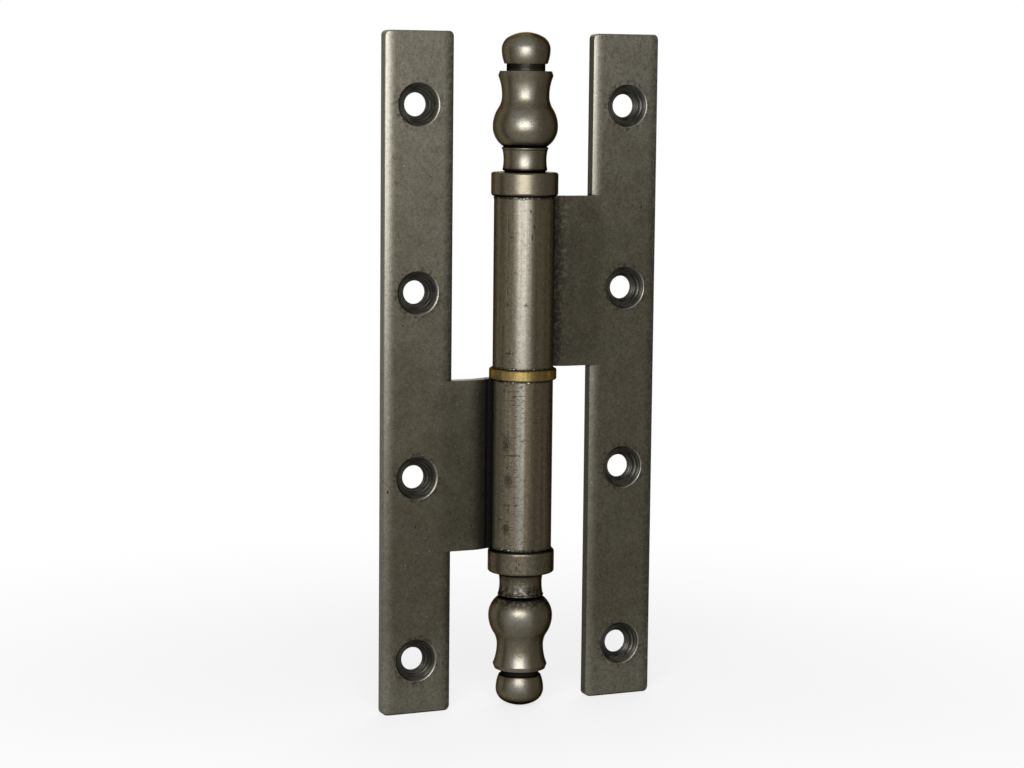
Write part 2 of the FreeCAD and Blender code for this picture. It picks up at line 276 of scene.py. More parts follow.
def new_group(name, inputs, outputs):
    """A node group with named sockets, ready for nodes between what it is given and its result."""
    tree = bpy.data.node_groups.new(name, "ShaderNodeTree")
    for label, kind, default in inputs:
        socket = tree.interface.new_socket(name=label, in_out="INPUT", socket_type=kind)
        if default is not None:
            socket.default_value = default
    for label, kind in outputs:
        tree.interface.new_socket(name=label, in_out="OUTPUT", socket_type=kind)
    shading = Shading(tree)
    entry = shading.node("NodeGroupInput")
    result = shading.node("NodeGroupOutput")
    return shading, entry.outputs, result.inputs


def make_place_group():
    """Where a point lies, in millimetres and round the pin, and how far it faces sideways and back."""
    outputs = [("Position", VECTOR), ("Unrolled", VECTOR)]
    outputs += [(name, NUMBER) for name in ("Radius", "Angle", "X", "Z", "Sideways", "Backwards")]
    shading, _, result = new_group("Place on the hinge", [], outputs)
    own = shading.node("ShaderNodeTexCoord").outputs
    position = shading.vector("DIVIDE", own["Object"], (MILLIMETRE,) * 3)
    split = shading.node("ShaderNodeSeparateXYZ", {"Vector": position}).outputs
    facing = shading.node("ShaderNodeSeparateXYZ", {"Vector": own["Normal"]}).outputs
    angle = shading.math("ARCTAN2", split["Y"], split["X"])
    arc = shading.times(angle, millimetres(bpy.context.scene.hinge_sizes.knuckle_radius))
    shading.feed(result["Position"], position)
    shading.feed(result["Unrolled"], shading.join(arc, 0.0, split["Z"]))
    shading.feed(result["Radius"], shading.length(shading.join(split["X"], split["Y"], 0.0)))
    shading.feed(result["Angle"], angle)
    shading.feed(result["Sideways"], shading.math("ABSOLUTE", facing["X"]))
    shading.feed(result["Backwards"], shading.math("MAXIMUM", facing["Y"], 0.0))
    shading.feed(result["X"], split["X"])
    shading.feed(result["Z"], split["Z"])


def make_grain_group():
    """Mottled metal: coarse clouds, patches of film, grain, a finer tooth and scattered specks."""
    shading, given, result = new_group(
        "Metal grain",
        [("Vector", VECTOR, None), ("Scale", NUMBER, 1.0)],
        [(name, NUMBER) for name in ("Clouds", "Film", "Grain", "Tooth", "Specks")],
    )

    def layer(scale, detail, roughness):
        return shading.noise(given["Vector"], shading.times(given["Scale"], scale), detail, roughness)

    shading.feed(result["Clouds"], layer(0.13, 4.0, 0.6))
    shading.feed(result["Film"], layer(0.55, 5.0, 0.7))
    shading.feed(result["Grain"], layer(0.95, 4.0, 0.65))
    shading.feed(result["Tooth"], layer(2.3, 3.0, 0.75))
    shading.feed(result["Specks"], shading.ramp(layer(1.7, 1.0, 0.4), 0.765, 0.8))


def make_pit_group():
    """Scattered pits of uneven size and outline."""
    shading, given, result = new_group(
        "Pits",
        [("Vector", VECTOR, None), ("Scale", NUMBER, 0.4), ("Size", NUMBER, 0.12), ("Share", NUMBER, 0.3)],
        [("Mask", NUMBER)],
    )
    wobble = shading.node("ShaderNodeTexNoise", {"Vector": given["Vector"], "Scale": 1.9, "Detail": 2.0})
    shift = shading.vector("MULTIPLY", wobble.outputs["Color"], (0.8,) * 3)
    moved = shading.vector("ADD", given["Vector"], shift)
    cells = shading.node("ShaderNodeTexVoronoi", {"Vector": moved, "Scale": given["Scale"]})
    chance = shading.node("ShaderNodeSeparateColor", {"Color": cells.outputs["Color"]}).outputs
    kept = shading.math("LESS_THAN", chance[0], given["Share"])
    reach = shading.times(given["Size"], shading.math("MULTIPLY_ADD", chance[1], 1.1, 0.3))
    inside = shading.ramp(cells.outputs["Distance"], shading.times(reach, 0.45), reach, 1.0, 0.0)
    shading.feed(result["Mask"], shading.times(inside, kept))


def make_scratch_group():
    """Thin broken lines that run along the stretched axis of the coordinates."""
    shading, given, result = new_group(
        "Scratches",
        [
            ("Vector", VECTOR, None),
            ("Stretch", VECTOR, (1.0, 1.0, 1.0)),
            ("Width", NUMBER, 0.02),
            ("Share", NUMBER, 0.5),
        ],
        [("Mask", NUMBER)],
    )
    stretched = shading.vector("MULTIPLY", given["Vector"], given["Stretch"])
    field = shading.noise(stretched, 1.0, 1.5, 0.5)
    line = shading.ramp(shading.away(field, 0.5), 0.0, given["Width"], 1.0, 0.0)
    breaks = shading.noise(given["Vector"], 0.35, 3.0, 0.6)
    threshold = shading.invert(given["Share"])
    shown = shading.ramp(breaks, threshold, shading.math("ADD", threshold, 0.08))
    shading.feed(result["Mask"], shading.times(line, shown))


def make_grime_group():
    """Dirt that gathers in grooves and corners, with a ragged edge."""
    shading, given, result = new_group(
        "Groove grime",
        [("Vector", VECTOR, None), ("Reach", NUMBER, 1.5), ("Amount", NUMBER, 1.0)],
        [("Mask", NUMBER)],
    )
    shelter = shading.node("ShaderNodeAmbientOcclusion", samples=8, only_local=False)
    shading.feed(shelter.inputs["Distance"], shading.times(given["Reach"], MILLIMETRE))
    ragged = shading.noise(given["Vector"], 1.1, 4.0, 0.65)
    uneven = shading.math("MULTIPLY_ADD", ragged, 1.6, 0.35)
    spread = shading.times(shading.invert(shelter.outputs["AO"]), uneven, given["Amount"])
    shading.feed(result["Mask"], shading.ramp(spread, 0.12, 0.62))


def make_lathe_group():
    """Fine rings left by turning, and the broken strokes of a file or cloth run round the work."""
    shading, given, result = new_group(
        "Marks run round",
        [("Unrolled", VECTOR, None), ("Pitch", NUMBER, 0.2), ("Waver", NUMBER, 0.02)],
        [("Rings", NUMBER), ("Strokes", NUMBER)],
    )
    squeezed = shading.vector("MULTIPLY", given["Unrolled"], shading.join(given["Waver"], 0.0, 1.0))
    fine = shading.math("DIVIDE", 1.0, given["Pitch"])
    shading.feed(result["Rings"], shading.noise(squeezed, fine, 2.0, 0.5))
    strokes = shading.vector("MULTIPLY", given["Unrolled"], (0.24, 0.0, 1.0))
    coarse = shading.math("DIVIDE", 0.42, given["Pitch"])
    shading.feed(result["Strokes"], shading.noise(strokes, coarse, 3.0, 0.6))


SHARED_EFFECTS = {
    "Place on the hinge": make_place_group,
    "Metal grain": make_grain_group,
    "Pits": make_pit_group,
    "Scratches": make_scratch_group,
    "Groove grime": make_grime_group,
    "Marks run round": make_lathe_group,
}

# Specular tints, which colour what is seen almost edge on.
DARK_RIM = (0.3, 0.28, 0.25)  # patinated steel
CLEAR_RIM = (0.9, 0.89, 0.86)  # bare steel
BRASS_RIM = (0.35, 0.28, 0.16)
PIN_RIM = (0.7, 0.69, 0.67)
BURR_RIM = (0.4, 0.39, 0.37)


def emptied_tree(owner):
    """The shader tree of a material or world, cleared."""
    owner.use_nodes = True
    owner.node_tree.nodes.clear()
    return owner.node_tree


class Metal(Shading):
    """A metal with its Principled node, and what its finish follows: the place on the hinge and a grain."""

    def __init__(self, name, rim_tint=DARK_RIM, shift=(0.0, 0.0, 0.0), grain_scale=1.0):
        self.material = bpy.data.materials.new(name)
        super().__init__(emptied_tree(self.material))
        self.surface = self.node("ShaderNodeBsdfPrincipled", distribution="MULTI_GGX")
        self.surface.inputs["Metallic"].default_value = 1.0
        self.surface.inputs["Specular Tint"].default_value = (*rim_tint, 1.0)
        self.node("ShaderNodeOutputMaterial", {"Surface": self.surface.outputs[0]})
        self.steel = bpy.context.scene.hinge_steel
        self.sizes = bpy.context.scene.hinge_sizes
        self.radius = millimetres(self.sizes.knuckle_radius)
        self.place = self.group("Place on the hinge")
        self.own = self.vector("ADD", self.place["Position"], shift)
        self.grain = self.group("Metal grain", Vector=self.own, Scale=grain_scale)

    def lay_finish(self, colour, roughness, heights):
        """Feeds the metal. The heights lie one over another, each with its depth in millimetres."""
        self.feed(self.surface.inputs["Base Color"], colour)
        self.feed(self.surface.inputs["Roughness"], roughness)
        under = {}
        for height, depth in heights:
            inputs = {"Height": height, "Strength": 1.0, "Distance": depth * MILLIMETRE, **under}
            under = {"Normal": self.node("ShaderNodeBump", inputs).outputs[0]}
        self.feed(self.surface.inputs["Normal"], under["Normal"])

    def side_mask(self, direction, reach):
        """Fades in towards one side of a round part; both numbers are degrees round the pin."""
        turned = self.math("SUBTRACT", self.place["Angle"], math.radians(direction))
        start, end = math.cos(math.radians(reach)), math.cos(math.radians(0.4 * reach))
        return self.ramp(self.math("COSINE", turned), start, end)

    def mark_mask(self, marks):
        """Mottled marks with ragged edges on a round part."""
        ragged = self.math("MULTIPLY_ADD", self.grain["Tooth"], 3.0, -1.5)
        mask = 0.0
        for mark in marks:
            centre = (math.radians(mark.angle) * self.radius, 0.0, mark.height)
            away = self.vector("SUBTRACT", self.place["Unrolled"], centre)
            away = self.vector("DIVIDE", away, (mark.wide, 1.0, mark.tall))
            worn = self.math("ADD", self.length(away), ragged)
            mask = self.most(mask, self.ramp(worn, 0.3, 1.15, 1.0, 0.0))
        return mask

    def mottle(self, tone, strength):
        """Lays brown and grey film over the tone in patches and varies its lightness."""
        grain, ramp = self.grain, self.ramp
        brown = self.times(ramp(grain["Film"], 0.5, 0.72, 0.0, 0.45), strength)
        cool = self.times(ramp(grain["Film"], 0.48, 0.3, 0.0, 0.4), strength)
        tone = self.mix(cool, self.mix(brown, tone, self.steel.brown), self.steel.cool)
        coarse = ramp(grain["Grain"], 0.3, 0.7, 0.13, -0.13)
        fine = ramp(grain["Tooth"], 0.3, 0.7, -0.22, 0.22)
        both = self.math("ADD", coarse, fine)
        return self.brighten(tone, self.math("MULTIPLY_ADD", both, strength, 1.0))


def finish_node(name, metal):
    """Puts the metal on a CAD piece."""
    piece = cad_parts[name]
    if not piece.material_slots:
        raise RuntimeError(f"{name} has no material slot")
    for slot in piece.material_slots:
        slot.material = metal.material


# ---------------------------------------------------------------------- leaves


class Mark(NamedTuple):
    """A mark on a round part: its angle round the pin in degrees, its height and sizes in millimetres."""

    angle: float
    height: float
    wide: float
    tall: float


class Side(NamedTuple):
    """One side of a round part: its direction and reach in degrees round the pin, and how strong it is."""

    direction: float
    reach: float
    share: float


class Dirt(NamedTuple):
    """Painted shade on the sheet beside the barrel, broken up like dirt. It fades in between two distances
    from the pin, up to a share of black.
    """

    start: float
    end: float
    share: float


class Leaf(NamedTuple):
    """What differs between the leaves. Places are millimetres from the middle of the hinge."""

    lit_edge: float  # long edge painted bare as a highlight, partly rubbed wear
    shaded_edge: float  # long edge painted dark as shade
    tab_middle: float
    top_light_heights: tuple  # the sheet is painted lighter from the first height to the second, as light from the key lamp
    rubbed: float  # how much lighter, as painted light
    side_colour: tuple  # of the sheet's cut sides: painted light on the lower leaf, painted shade on the upper
    tab_shade: Dirt
    crease: float  # painted shadow line on the tab, at this distance from the pin
    root: Side  # painted shade on the barrel where the sheet joins it
    dusty: Side  # dry film on the barrel
    front: Side  # line painted bare down the barrel where the key light's highlight falls: painted highlight, partly rubbed wear
    stroked: float  # how strongly strokes round the barrel show
    marks: tuple
    seed: float


LOWER_BARREL_MARKS = (
    Mark(-146.0, -19.4, 1.5, 3.2),
    Mark(-134.0, -22.4, 3.4, 0.3),
    Mark(-143.0, -25.8, 0.5, 0.7),
    Mark(-141.0, -29.5, 1.6, 2.6),
    Mark(-144.0, -36.6, 1.6, 0.35),
    Mark(-139.0, -37.6, 0.3, 1.1),
    Mark(-146.0, -43.0, 1.4, 2.2),
    Mark(-160.0, -40.8, 1.3, 0.3),
    Mark(-151.0, -4.2, 0.3, 0.9),
    Mark(-146.0, -2.8, 1.0, 0.3),
    Mark(-133.0, -4.4, 2.2, 0.17),
    Mark(-124.0, -5.6, 2.6, 0.15),
    Mark(-137.0, -6.9, 1.5, 0.16),
    Mark(-126.0, -8.1, 2.8, 0.15),
    Mark(-118.0, -3.2, 1.1, 0.2),
    Mark(-91.0, -13.2, 0.7, 0.6),
    Mark(-72.0, -20.9, 0.35, 0.45),
    Mark(-72.0, -31.6, 0.3, 0.35),
)
UPPER_BARREL_MARKS = (
    Mark(-145.5, 41.2, 0.24, 4.4),
    Mark(-145.8, 34.2, 0.17, 3.0),
    Mark(-146.2, 28.4, 0.15, 1.9),
    Mark(-145.9, 23.6, 0.17, 1.6),
    Mark(-146.4, 20.2, 0.3, 0.9),
    Mark(-140.0, 38.6, 1.0, 0.4),
    Mark(-94.0, 41.6, 0.45, 0.7),
    Mark(-98.0, 38.6, 0.4, 1.1),
    Mark(-109.0, 19.8, 0.5, 0.5),
    Mark(-141.0, 6.3, 2.0, 0.5),
)

# Sides of the round parts, in degrees round the pin.
LIT_SIDE = -143  # painted light: the side painted lighter, as if lit by the key light
STROKED_SIDE = -130  # a file has left strokes on it
HIGHLIGHT_LINE = -117  # the line where the key light's highlight falls, painted bare as a painted highlight, partly rubbed wear

# Heights of the leaves, in millimetres, between which painted light comes in: the lit edge's painted
# highlight grows upwards, and a painted reflection of the floor grows towards the foot.
LIT_HEIGHTS = (-60.0, 60.0)
FLOOR_REFLECTION_HEIGHTS = (-66.0, -92.0)


class LeafPatina(Metal):
    """The material of one leaf. Its zones are the flat sheet, the barrel, the countersinks and the sides."""

    def __init__(self, name, leaf):
        super().__init__(name, shift=(leaf.seed, 2 * leaf.seed, -leaf.seed))
        self.leaf = leaf
        self.find_zones()
        self.find_hole()
        self.find_tab()
        self.find_damage()
        self.find_dirt()
        self.tint_rim()
        self.lay_finish(self.colour(), self.roughness(), self.heights())

    def find_zones(self):
        """The barrel, the sheet and the sheet's countersunk face."""
        self.barrel = self.ramp(self.place["Radius"], self.radius + 0.35, self.radius + 0.1)
        self.sheet = self.invert(self.barrel)
        forwards = self.ramp(self.place["Backwards"], 0.6, 0.3)
        self.face = self.times(self.sheet, forwards)

    def find_hole(self):
        """Zones by the distance from the nearest hole, and the lower right side of it, where painted light
        falls.
        """
        sizes, ramp, times = self.sizes, self.ramp, self.times
        top, pitch = millimetres(sizes.hole_top), millimetres(sizes.hole_pitch)
        middle = math.copysign(millimetres(sizes.hole_reach), self.leaf.lit_edge)
        across = self.math("SUBTRACT", self.place["X"], middle)
        up = self.math("WRAP", self.math("SUBTRACT", self.place["Z"], top), pitch / 2, -pitch / 2)
        slanting = self.math("SUBTRACT", across, times(up, 0.35))
        self.lit_side_of_hole = ramp(slanting, 1.5, 5.5)

        hole, rim = self.length(self.join(across, up, 0.0)), millimetres(sizes.countersink_radius)
        self.sunk = times(ramp(hole, rim - 0.05, rim - 0.2), self.face)
        self.rim = times(ramp(hole, rim - 0.15, rim), ramp(hole, rim + 0.22, rim + 0.05), self.face)
        self.round_hole = times(ramp(hole, rim + 1.8, rim + 0.2), self.face, self.invert(self.sunk))
        steep = ramp(hole, rim - 0.6, rim - 0.3, 0.62, 1.0)
        self.hole_zone = times(ramp(hole, rim + 0.9, rim + 0.2), steep, self.face)
        self.side = times(ramp(self.place["Sideways"], 0.8, 0.97), self.sheet, ramp(hole, rim, rim + 1.0))
        spiral = self.join(hole, times(self.place["X"], 0.08), 0.0)
        self.rings = self.noise(spiral, 3.0, 2.5, 0.55)

    def find_tab(self):
        """Zones of the tab, of the barrel on it and of the strip's long edges."""
        sizes, place, leaf = self.sizes, self.place, self.leaf
        ramp, times, away = self.ramp, self.times, self.away
        # Painted shadow: a black line on the tab where the sheet turns back beside the barrel.
        self.crease = times(ramp(away(place["Radius"], leaf.crease), 0.8, 0.3, 0.0, 0.9), self.face)
        half_tab = millimetres(sizes.knuckle_end - sizes.knuckle_start) / 2
        up_tab = away(place["Z"], leaf.tab_middle)
        self.off_tab = ramp(up_tab, half_tab - 0.3, half_tab + 0.3)
        self.barrel_ends = times(ramp(up_tab, half_tab - 0.9, half_tab - 0.2), self.barrel)
        tab_edge = millimetres(sizes.leaf_reach - sizes.strip_width)
        # The tab zone takes painted shade in the sheet's tone.
        near_pin = ramp(self.math("ABSOLUTE", place["X"]), tab_edge + 7.0, tab_edge - 1.0)
        self.tab = times(near_pin, ramp(up_tab, half_tab + 6.0, half_tab - 8.0))
        self.dust = self.barrel_side(leaf.dusty)
        # Painted shade on the barrel's side where the sheet joins it.
        self.root = self.barrel_side(leaf.root)
        self.front = self.barrel_side(leaf.front)
        # Painted highlight along the lit edge, stronger towards the top, partly rubbed wear; the shaded edge
        # takes painted shade.
        self.lit = times(self.edge_band(leaf.lit_edge), ramp(place["Z"], *LIT_HEIGHTS, 0.4, 1.0))
        self.dull = self.edge_band(leaf.shaded_edge)

    def barrel_side(self, side):
        """One side of the barrel, as strong as its share."""
        mask = self.side_mask(side.direction, side.reach)
        return self.times(mask, side.share, self.barrel)

    def edge_band(self, edge):
        """Fades in over the shoulder towards a long edge of the strip; the inner edge stops at the tab."""
        width = millimetres(self.sizes.shoulder_width)
        band = self.ramp(self.away(self.place["X"], edge), width + 0.4, 0.2)
        is_inner = abs(edge) < millimetres(self.sizes.leaf_reach) - width
        return self.times(band, self.off_tab) if is_inner else band

    def find_damage(self):
        """Strokes and marks on the barrel, pits and scratches."""
        place, ramp, times, most = self.place, self.ramp, self.times, self.most
        self.turned = self.group("Marks run round", Unrolled=place["Unrolled"], Pitch=0.2, Waver=0.05)
        upright = self.vector("MULTIPLY", place["Unrolled"], (1.0, 0.0, 0.02))
        self.bands = self.noise(upright, 0.8, 2.0)
        stroke_zone = times(self.barrel, self.side_mask(STROKED_SIDE, 34), self.leaf.stroked)
        self.strokes = times(ramp(self.turned["Strokes"], 0.55, 0.68), stroke_zone)
        self.marks = times(self.mark_mask(self.leaf.marks), self.barrel)
        tall = self.vector("MULTIPLY", self.own, (1.0, 1.0, 0.6))
        sheet_pits = self.group("Pits", Vector=tall, Scale=0.24, Size=0.088, Share=0.36)["Mask"]
        pepper = self.group("Pits", Vector=self.own, Scale=1.5, Size=0.32, Share=0.3)["Mask"]
        self.pits = most(sheet_pits, times(pepper, stroke_zone, 0.7), times(pepper, self.barrel_ends))
        self.scratches = self.group(
            "Scratches", Vector=self.own, Stretch=(0.6, 0.6, 0.09), Width=0.01, Share=0.36
        )["Mask"]
        hairlines = self.group(
            "Scratches", Vector=self.own, Stretch=(0.05, 0.3, 0.5), Width=0.006, Share=0.3
        )["Mask"]
        self.hairlines = times(hairlines, self.sheet)

    def find_dirt(self):
        """Dirt in joints and pits and round the holes, painted shade beside the barrel, and dirt with
        painted shade at the barrel's ends.
        """
        grain, ramp, times = self.grain["Grain"], self.ramp, self.times
        joint = self.group("Groove grime", Vector=self.own, Reach=1.0, Amount=1.0)["Mask"]
        # Painted shade on the sheet beside the barrel, broken up like dirt.
        start, end, share = self.leaf.tab_shade
        shade_beside_barrel = ramp(self.place["Radius"], start, end, 0.0, share)
        shade_beside_barrel = times(shade_beside_barrel, ramp(grain, 0.25, 0.6, 0.5, 1.0), self.sheet)
        near_hole = times(self.round_hole, ramp(grain, 0.48, 0.6), 0.5)
        # Dirt with painted shade: a ragged black ring at the barrel's ends.
        ragged_ends = times(self.barrel_ends, ramp(grain, 0.35, 0.55), 0.75)
        beside_barrel = self.most(shade_beside_barrel, self.crease, self.root)
        # The dirt mask holds real dirt together with painted shade.
        self.dirt = self.most(joint, times(self.pits, 0.85), beside_barrel, near_hole, ragged_ends)

    def sheet_tone(self):
        """Olive grey, painted lighter towards the top as light and towards the foot as a reflection of the
        floor, and darker over the tab as shade; painted shade on one shoulder and a painted highlight,
        partly rubbed wear, on the other.
        """
        ramp, mix, times = self.ramp, self.mix, self.times
        # Painted light: lighter towards the top, as from the key lamp, and a painted reflection of the floor
        # towards the foot; the clouds vary it at random.
        start, end = self.leaf.top_light_heights
        painted_top_light = ramp(self.place["Z"], start, end, 0.0, self.leaf.rubbed)
        painted_floor_reflection = ramp(self.place["Z"], *FLOOR_REFLECTION_HEIGHTS, 0.0, 0.55)
        cloudy = ramp(self.grain["Clouds"], 0.3, 0.7, -0.12, 0.12)
        rub = self.math("ADD", self.most(painted_top_light, painted_floor_reflection), cloudy)
        tone = mix(rub, self.steel.sheet, self.steel.lit_sheet)
        # Painted shade: the sheet is darker over the tab, near the pin.
        tone = self.brighten(tone, ramp(self.tab, 0.0, 1.0, 1.0, 0.75))
        # Painted highlight on the lit edge.
        tone = mix(times(self.lit, 0.52), tone, self.steel.bare)
        # Painted shade on the shaded edge.
        tone = mix(times(self.dull, 0.55, ramp(self.grain["Grain"], 0.2, 0.6)), tone, self.steel.grime)
        # The cut sides take the side colour: painted light on the lower leaf, painted shade on the upper.
        return mix(times(self.side, 0.9), tone, self.leaf.side_colour)

    def barrel_tone(self):
        """Brown painted shade on one side, painted light on the other, and a bare line painted where the key
        light's highlight falls, partly rubbed wear.
        """
        mix, times = self.mix, self.times
        # Painted light and shade: the barrel's lit side is lighter, its far side darker.
        tone = mix(self.side_mask(LIT_SIDE, 54), self.steel.shaded, self.steel.lit_side_steel)
        tone = mix(self.dust, tone, self.steel.dust)
        # Painted highlight: bare steel along the line where the key light's highlight falls.
        tone = mix(self.front, tone, self.steel.bare)
        tone = self.brighten(tone, self.ramp(self.bands, 0.3, 0.7, 0.84, 1.16))
        marked = self.most(times(self.strokes, 0.85), self.marks)
        return mix(times(marked, 0.6), tone, self.steel.grime)

    def countersink_tone(self):
        """Dark, with the rings of the cutter and paler smears between them, and painted light on the lower
        right side as bare steel.
        """
        mix, ramp = self.mix, self.ramp
        tone = mix(ramp(self.rings, 0.38, 0.6, 0.1, 0.85), self.steel.grime, self.steel.cool)
        tone = mix(ramp(self.grain["Grain"], 0.5, 0.7, 0.0, 0.6), tone, self.steel.shaded)
        # Painted light on the cone's lower right side.
        rubbed = self.times(self.lit_side_of_hole, ramp(self.rings, 0.52, 0.66), 0.55)
        return mix(rubbed, tone, self.steel.bare)

    def colour(self):
        mix, times = self.mix, self.times
        tone = mix(self.barrel, self.sheet_tone(), self.barrel_tone())
        on_sheet = self.ramp(self.lit, 0.0, 1.0, 1.05, 0.5)
        tone = self.mottle(tone, self.blend(self.barrel, on_sheet, 0.85))
        tone = mix(times(self.scratches, 0.25), tone, self.steel.brown)
        tone = mix(times(self.hairlines, 0.4), tone, self.steel.bare)
        tone = mix(times(self.grain["Specks"], 0.3), tone, self.steel.worn_edge)
        tone = mix(times(self.sunk, 0.9), tone, self.countersink_tone())
        tone = mix(self.dirt, tone, self.steel.grime)
        # Painted highlight: the rim is painted bright on its lower right side.
        rim_highlight = times(self.rim, self.blend(self.lit_side_of_hole, 0.02, 0.34))
        return mix(rim_highlight, tone, self.steel.worn_edge)

    def tint_rim(self):
        """The flats stay clear at a low angle; barrels, cut sides and countersinks go dark."""
        dark = self.most(self.barrel, self.side, self.hole_zone)
        tint = self.mix(dark, CLEAR_RIM, DARK_RIM)
        self.feed(self.surface.inputs["Specular Tint"], tint)

    def roughness(self):
        ramp, blend = self.ramp, self.blend
        on_sheet = ramp(self.grain["Grain"], 0.3, 0.7, 0.48, 0.56)
        on_barrel = ramp(self.grain["Tooth"], 0.3, 0.7, 0.38, 0.46)
        rough = blend(self.barrel, on_sheet, blend(self.dust, on_barrel, 0.72))
        rough = blend(self.lit, rough, 0.38)
        rough = blend(self.dirt, rough, 0.7)
        rough = blend(self.sunk, rough, 0.36)
        return blend(self.rim, rough, 0.3)

    def heights(self):
        times = self.times
        damage = self.most(self.pits, self.scratches, self.strokes, self.marks)
        return (
            (self.grain["Clouds"], 0.05),
            (self.grain["Grain"], 0.014),
            (self.grain["Tooth"], 0.009),
            (times(self.bands, self.barrel), 0.03),
            (times(self.turned["Rings"], self.barrel, self.leaf.stroked), 0.012),
            (times(self.rings, self.sunk), 0.12),
            (self.invert(damage), 0.04),
        )


class HINGE_OT_finish_leaves(bpy.types.Operator):
    """Gives both leaves their patina with painted light, shade and highlights, marked barrels and dirty
    countersinks
    """

    bl_idname = "hinge.finish_leaves"
    bl_label = "Finish leaves"

    def execute(self, context):
        sizes = context.scene.hinge_sizes
        outer = millimetres(sizes.leaf_reach)
        inner = outer - millimetres(sizes.strip_width)
        tab_middle = millimetres(sizes.knuckle_start + sizes.knuckle_end) / 2
        lower = Leaf(
            lit_edge=-outer,
            shaded_edge=-inner,
            tab_middle=-tab_middle,
            top_light_heights=(-45.0, 115.0),
            rubbed=1.0,
            side_colour=(0.2, 0.195, 0.17),
            tab_shade=Dirt(17.0, 13.4, 0.36),
            crease=10.5,
            root=Side(-192, 24, 0.4),
            dusty=Side(-152, 44, 1.0),
            front=Side(-118, 10, 0.85),
            stroked=1.0,
            marks=LOWER_BARREL_MARKS,
            seed=7.0,
        )
        upper = Leaf(
            lit_edge=inner,
            shaded_edge=outer,
            tab_middle=tab_middle,
            top_light_heights=(25.0, 112.0),
            rubbed=0.95,
            side_colour=(0.085, 0.081, 0.07),
            tab_shade=Dirt(15.8, 10.4, 0.8),
            crease=9.7,
            root=Side(-16, 34, 0.85),
            dusty=Side(-162, 22, 0.1),
            front=Side(-115.5, 19, 0.72),
            stroked=0.25,
            marks=UPPER_BARREL_MARKS,
            seed=31.0,
        )
        finish_node("lower_leaf", LeafPatina("lower leaf patina", lower))
        finish_node("upper_leaf", LeafPatina("upper leaf patina", upper))
        return {"FINISHED"}


# -------------------------------------------------------- finials, washer, pin


class Finial(NamedTuple):
    """What differs between the finials. Heights are millimetres from the middle of the hinge."""

    dirtiness: float
    soot: float  # how black the foot of the bulb is
    highlight_heights: tuple  # where the key light's highlights fall on the swells, painted bare
    marks: tuple
    seed: float


# Places along the finials, in millimetres from the middle of the hinge.
GROOVES = ((49.7, 0.45), (57.0, 0.3), (63.6, 0.3), (85.5, 0.6))  # and half the width of their band of dirt and painted shade
SHOULDER = 74.8  # crease where the bulb meets the cone
SOOT_START = (67.5, 63.5)  # soot on the bulb fades in over these, towards the hinge
SOOT_END = (59.0, 62.0)  # and thins out again between these
LOWER_NECK_MARKS = (
    Mark(-121.0, -51.9, 0.2, 1.0),
    Mark(-117.0, -52.9, 0.25, 0.7),
    Mark(-121.5, -53.9, 0.3, 0.8),
    Mark(-116.0, -54.8, 0.45, 0.4),
    Mark(-131.0, -55.0, 0.3, 0.25),
)


